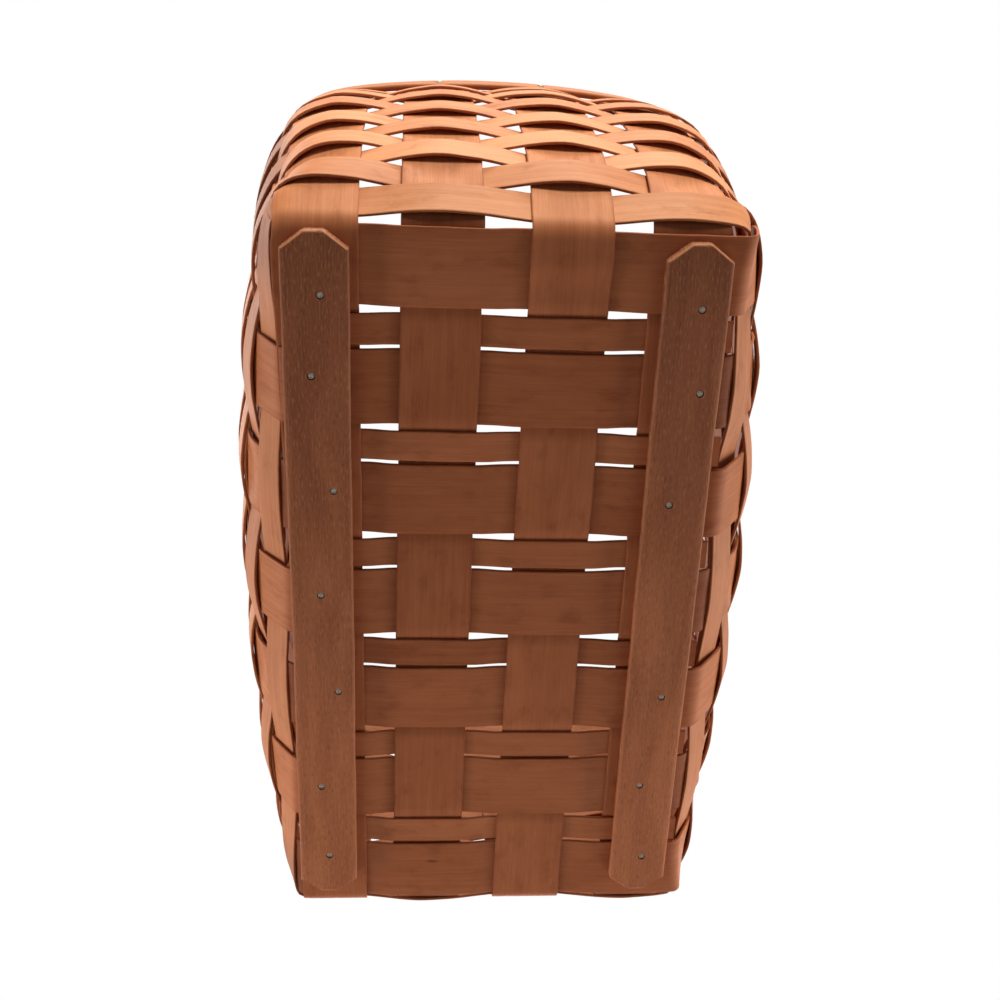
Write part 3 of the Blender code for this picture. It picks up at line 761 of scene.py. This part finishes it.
def make_lengthwise(index):
    columns = section(lengthwise_width(index))
    extra = FLARE if index == 0 else 0.0
    base = []
    for x, z in level_changes(lengthwise_base(index)):
        widened = flared(columns, extra * eased(x, 0.0, HALF_LENGTH))
        sag = max(0.0, 1.0 - abs(x - HALF_LENGTH + DIP_REACH) / DIP_REACH) if index == 2 else 0.0
        z -= FOLD_DIP * ease(sag)
        base.append([(x, lengthwise_y(index, x) + v, z) for v in widened])
    grid = splint_grid(upright_of("end", 1, index), upright_of("end", -1, index),
                       np.array(base) + np.array(SHIFT), columns, extra, FOLD_REACHES.get(index, FOLD_REACH))
    piece = strip_mesh(f"lengthwise_strip_{index + 1}", grid, columns, THICK, SPLINT_WOOD,
                       SEEDS["lengthwise"] + index, darkening=base_darkening, tone_of=LENGTHWISE_TONES[index],
                       painted_shade=fold_painted_shade((True, not lengthwise_outside(index, 0)),
                                      not lengthwise_outside(index, CROSSES - 1)))
    return finish_piece(piece, "splint", f"lengthwise_splint_{index + 1}")


def cross_grid(cross, middle, ends, columns):
    """The base stretch of a cross splint or filler, following the rows' lean."""
    changes = level_changes(cross_base(cross, middle, ends))
    return np.array([[(row_x(middle, y) + v, y, z) for v in columns] for y, z in changes]) + np.array(SHIFT)


def make_cross(cross):
    columns = section(SPLINT)
    base = cross_grid(cross, cross_x(cross), HALF_WIDTH - INNER_FOLD_REACH - END_SLACK, columns)
    grid = splint_grid(upright_of("side", -1, cross), upright_of("side", 1, cross), base, columns)
    piece = strip_mesh(f"cross_strip_{cross + 1}", grid, columns, THICK, SPLINT_WOOD,
                       SEEDS["cross"] + cross, darkening=base_darkening, tone_of=CROSS_TONES[cross],
                       painted_shade=fold_painted_shade((False, lengthwise_outside(3, cross)), lengthwise_outside(0, cross)))
    return finish_piece(piece, "splint", f"cross_splint_{cross + 1}")


def make_filler(index):
    columns = section(FILLER, ())
    grid = cross_grid(index + 1, cross_x(index) - FILLER_DROP, HALF_WIDTH - FILLER_INSET, columns)
    piece = strip_mesh(f"filler_strip_{index + 1}", grid, columns, THICK, SPLINT_WOOD,
                       SEEDS["filler"] + index, darkening=base_darkening)
    return finish_piece(piece, "splint", f"base_filler_{index + 1}")


def ring_grid(z, half, columns, wave_of, first, lap):
    """The middle surface of a band round the walls, from the upright where it starts to where its lap ends.

    Its lower and upper edges follow the wall at their own heights."""
    low, high = Plan.at(z - half), Plan.at(z + half)
    count = len(UPRIGHTS)
    rows = []
    for span in range(count + lap):
        i = (first + span) % count
        j = (i + 1) % count
        spans = []
        for plan in (low, high):
            start, end = plan.upright_s(UPRIGHTS[i]), plan.upright_s(UPRIGHTS[j])
            spans.append((start, end + plan.length if end < start else end))
        for step in range(SPAN_STEPS + (1 if span == count + lap - 1 else 0)):
            t = step / SPAN_STEPS
            ends = []
            for plan, (start, end), height in ((low, spans[0], z - half), (high, spans[1], z + half)):
                point, along, out = plan.frame(start + (end - start) * t)
                ends.append((to_vector(point, height), Vector((out[0], out[1], 0.0)),
                             Vector((along[0], along[1], 0.0))))
            across = (ends[1][0] - ends[0][0]).normalized()
            along = (ends[0][2] + ends[1][2]).normalized()
            normal = along.cross(across).normalized()
            if normal.dot(ends[0][1]) < 0:
                normal = -normal
            middle = (ends[0][0] + ends[1][0]) / 2 + normal * wave_of(i, t, span)
            rows.append([middle + across * v for v in columns])
    return rows


def make_weaver(row):
    """A row whose ends lap over two spans: both ends are hidden behind uprights, seen from outside."""
    z = WALL_Z + (row + 0.5) * ROW
    seed = SEEDS["weaver"] + row
    count = len(UPRIGHTS)
    first = (LAP_START + LAP_STEP * row) % count
    while (UPRIGHTS[first]["outside"] != (row % 2 == 0)) or UPRIGHTS[first]["wall"] == "end":
        first = (first + 1) % count

    def height_of(upright):
        if row == 0:
            return FIRST_WAVES[upright["wall"], upright["side"]]
        return END_WAVE if upright["wall"] == "end" else SIDE_WAVE

    def wave_of(i, t, span):
        outward = 1.0 if UPRIGHTS[i]["outside"] != (row % 2 == 0) else -1.0
        swell = 1.0 + 0.10 * wobble(seed, (i + t) * 0.11)
        here, there = height_of(UPRIGHTS[i]), height_of(UPRIGHTS[(i + 1) % count])
        lapped = LAP_OFFSET * eased(span + t, count - 0.8, 0.5)
        return outward * math.cos(math.pi * t) * (here + (there - here) * t) * swell - lapped

    columns = section(ROW_WIDTH, ())
    grid = ring_grid(z, ROW_WIDTH / 2, columns, wave_of, first, 2)
    name = f"weaver_strip_{row + 1:02d}"
    # the rows take painted shade where they turn the corners
    piece = strip_mesh(name, grid, columns, THICK, WEAVER_WOOD, seed, painted_shade=corner_painted_shade)
    return finish_piece(piece, "weaver", f"weaver_row_{row + 1:02d}")


def make_rim(name, side, node, first):
    """A rim band whose two tapered ends lie over each other for one span."""
    half = (TOP_Z - RIM_Z) / 2
    count = len(UPRIGHTS)

    def share_at(span, t):
        """How much of the full thickness the band has: it tapers over its first and its last span."""
        if span == 0:
            return max(RIM_END_SHARE, t)
        return max(RIM_END_SHARE, 1.0 - t) if span >= count else 1.0

    def offset_of(i, t, span):
        missing = (RIM_THICK * (1.0 - share_at(span, t)) + 0.0001) / 2
        return side * (RIM_OFFSET - (missing if span == 0 else 0.0) + (missing if span >= count else 0.0))

    columns = section(2 * half, (0.5,), RIM_ROUND, RIM_ROUND * 2)
    grid = ring_grid(RIM_Z + half, half, columns, offset_of, first, 1)
    stations = range((count + 1) * SPAN_STEPS)
    thick = [RIM_THICK * share_at(k // SPAN_STEPS, k % SPAN_STEPS / SPAN_STEPS) for k in stations]
    thick.append(RIM_THICK * share_at(count, 1.0))
    piece = strip_mesh(name, grid, columns, thick, RIM_WOOD, SEEDS["rim"] + side, edge_round=RIM_ROUND)
    return finish_piece(piece, "rim", node)


def runner_outline(distance, length, half):
    """Half width of a runner at a distance along it: clipped corners at both ends."""
    near = min(distance, length - distance)
    if near >= CLIP_LENGTH:
        return half
    return half - CLIP_WIDTH * (1 - near / CLIP_LENGTH)


def runner_stops(length):
    """Places along a runner where its section is drawn, close together at the ends."""
    ends = [0.0, WORN * 0.3, WORN, WORN * 2] + [CLIP_LENGTH * share for share in CLIP_SHARES]
    count = int((length - 2.5 * CLIP_LENGTH) / BOARD_STEP)
    between = [CLIP_LENGTH * CLIP_SHARES[-1] + BOARD_STEP * k for k in range(count)]
    return sorted(set(ends + [length - d for d in ends] + between))


def runner_section(wide, bottom, top):
    """A runner's section as pairs of y, z: a flat underside with worn lower edges, and a top less worn."""
    level = [1.0, 1.0 - EDGE_LINE / wide, 0.75, 0.4, 0.0]
    shares = [-share for share in level] + level[-2::-1]
    under = [(share * wide, bottom + (WORN if abs(share) == 1.0 else 0.0)) for share in shares]
    chamfer = WORN * 0.5
    over = [(wide, top - chamfer), (wide - chamfer, top), (-wide + chamfer, top), (-wide, top - chamfer)]
    return under + over


def make_runner(side):
    low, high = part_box(f"runner_{side}")
    length = high[0] - low[0]
    half = (high[1] - low[1]) / 2
    middle = (high[1] + low[1]) / 2
    shape = bmesh.new()
    edge = shape.verts.layers.float.new("edge")
    rings = []
    for d in runner_stops(length):
        end = min(d, length - d)
        drop = WORN * (1 - min(1.0, end / WORN)) ** 2
        wide = runner_outline(d, length, half) - drop * 0.5
        ring = []
        for y, z in runner_section(wide, low[2] + drop, high[2] - drop * 0.5):
            wander = BOARD_WANDER * wobble(BOARD_SEEDS[side], d)
            vertex = shape.verts.new((low[0] + d, middle + y + wander, z))
            inside = (wide - abs(y)) * (1.0 if end > CLIP_LENGTH else 0.75)
            vertex[edge] = min(inside, end) * 1000.0 if z < (low[2] + high[2]) / 2 else 3.0
            ring.append(vertex)
        rings.append(ring)
    count = len(rings[0])
    for a, b in zip(rings, rings[1:]):
        for i in range(count):
            face = shape.faces.new((a[i], a[(i + 1) % count], b[(i + 1) % count], b[i]))
            face.smooth = True
    shape.faces.new(rings[0][::-1])
    shape.faces.new(rings[-1])
    bmesh.ops.recalc_face_normals(shape, faces=shape.faces)
    board = built(f"runner_board_{side}", shape)
    board.data.set_sharp_from_angle(angle=math.radians(50))
    board.data.materials.append(RUNNER_WOOD)
    holes = nail_holes(side)
    cut = board.modifiers.new("holes", "BOOLEAN")
    cut.object = holes
    cut.solver = "EXACT"
    bpy.context.view_layer.update()
    ready = bpy.data.meshes.new_from_object(board.evaluated_get(bpy.context.evaluated_depsgraph_get()))
    board.modifiers.clear()
    board.data = ready
    bpy.data.objects.remove(holes)
    finish_piece(board, "runner", f"runner_{side}")


def nail_boxes(side):
    names = [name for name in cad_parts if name.startswith(f"runner_{side}_nail_")]
    return [(name, *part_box(name)) for name in sorted(names)]


def nail_holes(side):
    """Cutters: a drilled recess at each nail head, wider than the head, with the shank hole above it."""
    shape = bmesh.new()
    for _, low, high in nail_boxes(side):
        x, y = (low[0] + high[0]) / 2, (low[1] + high[1]) / 2
        head = (high[0] - low[0]) / 2
        recess = (head + HOLE_PLAY, -0.002, low[2] + HOLE_DEPTH)
        shank = (head * 0.5, -0.0025, high[2] + 0.001)
        for radius, bottom, top in (recess, shank):
            made = bmesh.ops.create_cone(shape, cap_ends=True, segments=20, radius1=radius, radius2=radius,
                                         depth=top - bottom)
            bmesh.ops.translate(shape, vec=(x, y, (top + bottom) / 2), verts=made["verts"])
    return built(f"holes_{side}", shape)


def lathe(name, profile, place, direction, material, sides=20):
    """A closed turned piece from a profile of (radius, height), standing along a direction."""
    shape = bmesh.new()
    turn = Vector((0, 0, 1)).rotation_difference(Vector(direction)).to_matrix()
    rings = []
    for radius, height in profile:
        if radius == 0.0:
            rings.append([shape.verts.new(Vector(place) + turn @ Vector((0, 0, height)))])
            continue
        angles = [math.tau * k / sides for k in range(sides)]
        spots = [Vector((radius * math.cos(angle), radius * math.sin(angle), height)) for angle in angles]
        rings.append([shape.verts.new(Vector(place) + turn @ spot) for spot in spots])
    for a, b in zip(rings, rings[1:]):
        for k in range(sides):
            j = (k + 1) % sides
            corners = [a[k % len(a)], a[j % len(a)], b[j % len(b)], b[k % len(b)]]
            corners = [c for i, c in enumerate(corners) if c not in corners[:i]]
            face = shape.faces.new(corners)
            face.smooth = True
    bmesh.ops.recalc_face_normals(shape, faces=shape.faces)
    piece = built(name, shape)
    piece.data.set_sharp_from_angle(angle=math.radians(40))
    piece.data.materials.append(material)
    return piece


def make_nails(side):
    for number, (name, low, high) in enumerate(nail_boxes(side), start=1):
        head = (high[0] - low[0]) / 2
        shank = head * 0.42
        tip = high[2] - low[2] + HEAD_RISE
        dome = [(0.0, -0.00012), (head * 0.55, -0.00006), (head * 0.86, 0.0001)]
        rim = [(head, 0.0003), (head, 0.0005), (head * 0.9, 0.0006)]
        stem = [(shank, 0.0006), (shank, tip - 0.0012), (shank * 0.5, tip - 0.0004), (0.0, tip)]
        place = ((low[0] + high[0]) / 2, (low[1] + high[1]) / 2, low[2] - HEAD_RISE)
        nail = lathe(f"nail_{side}_{number}", dome + rim + stem, place, (0, 0, 1), STEEL)
        finish_piece(nail, "steel", name)


def make_rim_tacks():
    """Tacks through the rim, square to the wall at their own places."""
    for name in sorted(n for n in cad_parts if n.startswith("rim_tack_")):
        low, high = (Vector(v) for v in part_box(name))
        middle = (low + high) / 2
        plan = Plan.at(middle.z)
        flat = np.array([middle.x - SHIFT.x, middle.y - SHIFT.y])
        near = int(np.argmin(np.hypot(plan.x - flat[0], plan.y - flat[1])))
        point, _, out = plan.frame(plan.s[near])
        outward = Vector((out[0], out[1], 0.0))
        place = to_vector(point, middle.z) + outward * TACK_FACE
        radius = (high.z - low.z) / 2
        length = 2 * TACK_FACE
        head = [(0.0, 0.0006), (radius * 0.6, 0.0005), (radius * 0.9, 0.0003), (radius, 0.0001)]
        stem = [(radius, 0.0), (radius * 0.33, 0.0), (radius * 0.33, -length), (0.0, -length - 0.0006)]
        tack = lathe(name.replace("rim_tack", "tack"), head + stem, place, outward, STEEL)
        finish_piece(tack, "steel", name)


for index in range(4):
    make_lengthwise(index)
for cross in range(CROSSES):
    make_cross(cross)
for index in range(CROSSES - 1):
    make_filler(index)
for row in range(ROWS):
    make_weaver(row)
make_rim("rim_outer", 1, "rim_outer_band", 17)
make_rim("rim_inner", -1, "rim_inner_band", 7)
for side in ("left", "right"):
    make_runner(side)
    make_nails(side)
make_rim_tacks()


# camera, floor and light

VIEW_PLACE = Vector((0.292068, -0.048485, -0.48908))
VIEW_FORWARD = Vector((-0.438835, 0.079275, 0.895064))
VIEW_DOWN = Vector((-0.8978495, 0.0019686, -0.4403601))
SENSOR = 36.0
LENS_SHARE = 1.3279
FLOOR_SIZE = 6.0
FLOOR_Z = -0.0002
FLOOR_GLOW = 0.36
FADE_START = 0.28
FADE_END = 0.95
WORLD_STRENGTH = 0.118
CENTRE = (0.0, 0.0, 0.1)
END_WALL = (0.17, 0.0, 0.1)
END_RIM = (0.17, 0.0, 0.14)
SIDE_WALLS = (0.0, 0.0, 0.08)
FAR_BASE = (-0.14, 0.0, 0.02)


def make_camera():
    """The photograph's camera, which looks up at the base from below the +X end."""
    camera = linked("camera", bpy.data.cameras.new("camera"))
    camera.data.sensor_width = SENSOR
    camera.data.lens = SENSOR * LENS_SHARE
    right = VIEW_DOWN.cross(VIEW_FORWARD).normalized()
    down = VIEW_FORWARD.cross(right).normalized()
    turn = Matrix((right, -down, -VIEW_FORWARD.normalized())).transposed()
    camera.matrix_world = Matrix.Translation(VIEW_PLACE) @ turn.to_4x4()
    bpy.context.scene.camera = camera


def seen_directly(tree):
    """1 for rays that show the background, also mirrored or through glass, and 0 for light on the object."""
    path = tree.nodes.new("ShaderNodeLightPath")
    seen = math_node(tree, "MAXIMUM", path.outputs["Is Camera Ray"], path.outputs["Is Glossy Ray"])
    return math_node(tree, "MAXIMUM", seen, path.outputs["Is Transmission Ray"])


def make_floor():
    """A pale floor that is seen, and shadowed, from above only, and turns white away from the object."""
    shape = bmesh.new()
    bmesh.ops.create_grid(shape, x_segments=8, y_segments=8, size=FLOOR_SIZE)
    floor = built("floor", shape)
    floor.location.z = FLOOR_Z
    material, tree, shader = nodes_of("pale floor")
    shader.inputs["Base Color"].default_value = (0.50, 0.50, 0.50, 1.0)
    shader.inputs["Roughness"].default_value = 0.9
    shader.inputs["Specular IOR Level"].default_value = 0.0
    shader.inputs["Emission Color"].default_value = (1.0, 1.0, 1.0, 1.0)
    seen = seen_directly(tree)
    tree.links.new(times(tree, seen, FLOOR_GLOW), shader.inputs["Emission Strength"])
    reach = tree.nodes.new("ShaderNodeVectorMath")
    reach.operation = "LENGTH"
    tree.links.new(tree.nodes.new("ShaderNodeTexCoord").outputs["Object"], reach.inputs[0])
    white = tree.nodes.new("ShaderNodeEmission")
    clear = tree.nodes.new("ShaderNodeBsdfTransparent")
    facing = tree.nodes.new("ShaderNodeNewGeometry")
    fade = tree.nodes.new("ShaderNodeMixShader")
    mix = tree.nodes.new("ShaderNodeMixShader")
    output = next(n for n in tree.nodes if n.type == "OUTPUT_MATERIAL")
    tree.links.new(seen, white.inputs["Strength"])
    tree.links.new(ramp(tree, reach.outputs["Value"], FADE_START, FADE_END), fade.inputs[0])
    tree.links.new(shader.outputs[0], fade.inputs[1])
    tree.links.new(white.outputs[0], fade.inputs[2])
    tree.links.new(facing.outputs["Backfacing"], mix.inputs[0])
    tree.links.new(fade.outputs[0], mix.inputs[1])
    tree.links.new(clear.outputs[0], mix.inputs[2])
    tree.links.new(mix.outputs[0], output.inputs["Surface"])
    floor.data.materials.append(material)
    floor.visible_shadow = False
    floor.visible_diffuse = False
    floor.visible_glossy = False


def make_world():
    world = bpy.data.worlds.new("studio")
    bpy.context.scene.world = world
    world.use_nodes = True
    tree = world.node_tree
    background = tree.nodes["Background"]
    background.inputs["Color"].default_value = (1.0, 0.98, 0.96, 1.0)
    background.inputs["Strength"].default_value = WORLD_STRENGTH
    white = tree.nodes.new("ShaderNodeBackground")
    white.inputs["Color"].default_value = (1.0, 1.0, 1.0, 1.0)
    white.inputs["Strength"].default_value = 1.0
    mix = tree.nodes.new("ShaderNodeMixShader")
    tree.links.new(seen_directly(tree), mix.inputs[0])
    tree.links.new(background.outputs[0], mix.inputs[1])
    tree.links.new(white.outputs[0], mix.inputs[2])
    tree.links.new(mix.outputs[0], tree.nodes["World Output"].inputs["Surface"])


def area_light(name, place, target, size, power, colour=(1.0, 1.0, 1.0)):
    data = bpy.data.lights.new(name, "AREA")
    data.shape = "SQUARE"
    data.size = size
    data.energy = power
    data.color = colour
    light = linked(name, data)
    light.location = place
    aim = Vector(target) - Vector(place)
    light.rotation_euler = aim.to_track_quat("-Z", "Y").to_euler()


bpy.context.scene.view_settings.view_transform = "Standard"
make_camera()
make_floor()
make_world()
area_light("end light", (2.0, 0.25, 0.22), END_WALL, 0.5, 44.0, (0.95, 1.0, 0.89))
area_light("rim light", (1.3, 0.2, 1.0), END_RIM, 0.7, 18.0, (0.95, 1.0, 0.93))
area_light("high light", (-0.1, -1.0, 1.6), CENTRE, 1.4, 12.0)
area_light("back light", (-1.5, 0.3, 0.7), CENTRE, 1.2, 14.0)
for side in (-1, 1):
    area_light(f"low light {side}", (-0.58, side * 0.46, -0.34), FAR_BASE, 0.4, 1.35, (1.0, 0.98, 0.94))
    area_light(f"side light {side}", (-0.28, side * 1.2, -0.1), SIDE_WALLS, 0.8, 10.3, (1.0, 0.98, 0.92))
